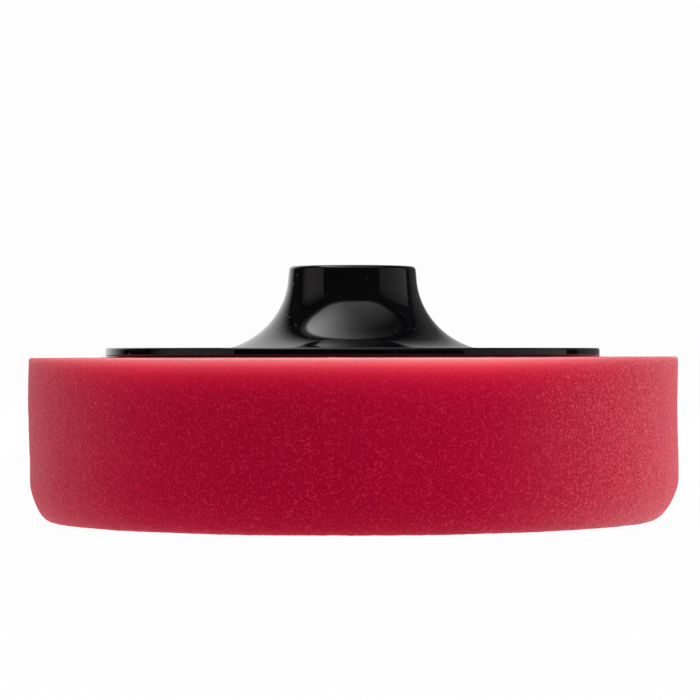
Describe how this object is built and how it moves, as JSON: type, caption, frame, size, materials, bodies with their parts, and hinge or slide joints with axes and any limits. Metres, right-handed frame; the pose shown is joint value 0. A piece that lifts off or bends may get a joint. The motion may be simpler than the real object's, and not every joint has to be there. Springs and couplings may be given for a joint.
{
  "type": "foam polishing head",
  "caption": "Soft foam disc bonded under a thin black plate, with a flared hub that screws onto a polishing machine's M14 spindle.",
  "frame": {"origin": "centre of the foam's flat working face, on the axis that the head turns about", "axes": "+Z along the axis the head turns about, from the working face towards the hub and the machine; +X and +Y lie in the working face"},
  "size_m": [0.15, 0.15, 0.0586],
  "materials": {
    "crimson_foam": "matte",
    "hot_melt_glue": "satin",
    "gloss_black_plastic": "gloss",
    "zinc_plated_steel": "satin"
  },
  "bodies": {
    "root": {"foam_pad": "crimson_foam", "adhesive_layer": "hot_melt_glue", "hub_plate": "gloss_black_plastic", "thread_insert": "zinc_plated_steel"}
  },
  "joints": []
}
